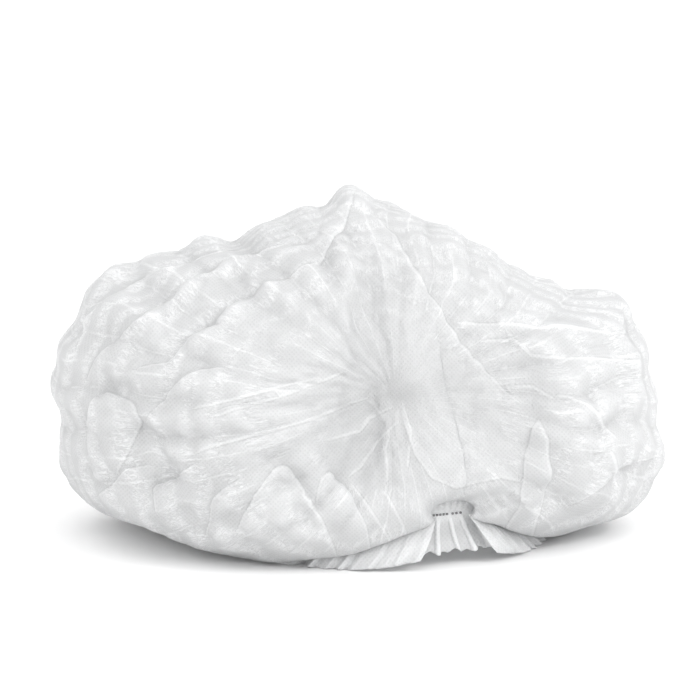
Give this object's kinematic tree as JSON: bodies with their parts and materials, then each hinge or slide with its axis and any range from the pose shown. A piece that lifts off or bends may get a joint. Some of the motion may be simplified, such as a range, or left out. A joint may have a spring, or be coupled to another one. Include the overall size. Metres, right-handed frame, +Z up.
{
  "type": "disposable hair cover cap",
  "caption": "Puffed disposable hair cap of pleated white nonwoven cloth with an elastic edge, resting open side down on its frilled hem.",
  "frame": {"origin": "centre of the overall box, on the plane that the hem rests on", "axes": "+X to the right lobe and +Y to the rear, seen from the front weld's side; +Z up through the crown"},
  "size_m": [0.238, 0.1952, 0.1313],
  "materials": {
    "crown_cloth": "thin white spunbond nonwoven cloth, slightly see-through, with a fine point-bonded emboss",
    "edge_cloth": "the same nonwoven cloth in gathered and welded layers",
    "elastic": "white covered elastic strand"
  },
  "bodies": {
    "root": {"crown": "crown_cloth", "frill_left": "edge_cloth", "frill_right": "edge_cloth", "elastic_left": "elastic", "elastic_right": "elastic", "pleat_tab_front": "edge_cloth", "pleat_tab_rear": "edge_cloth"}
  },
  "joints": []
}
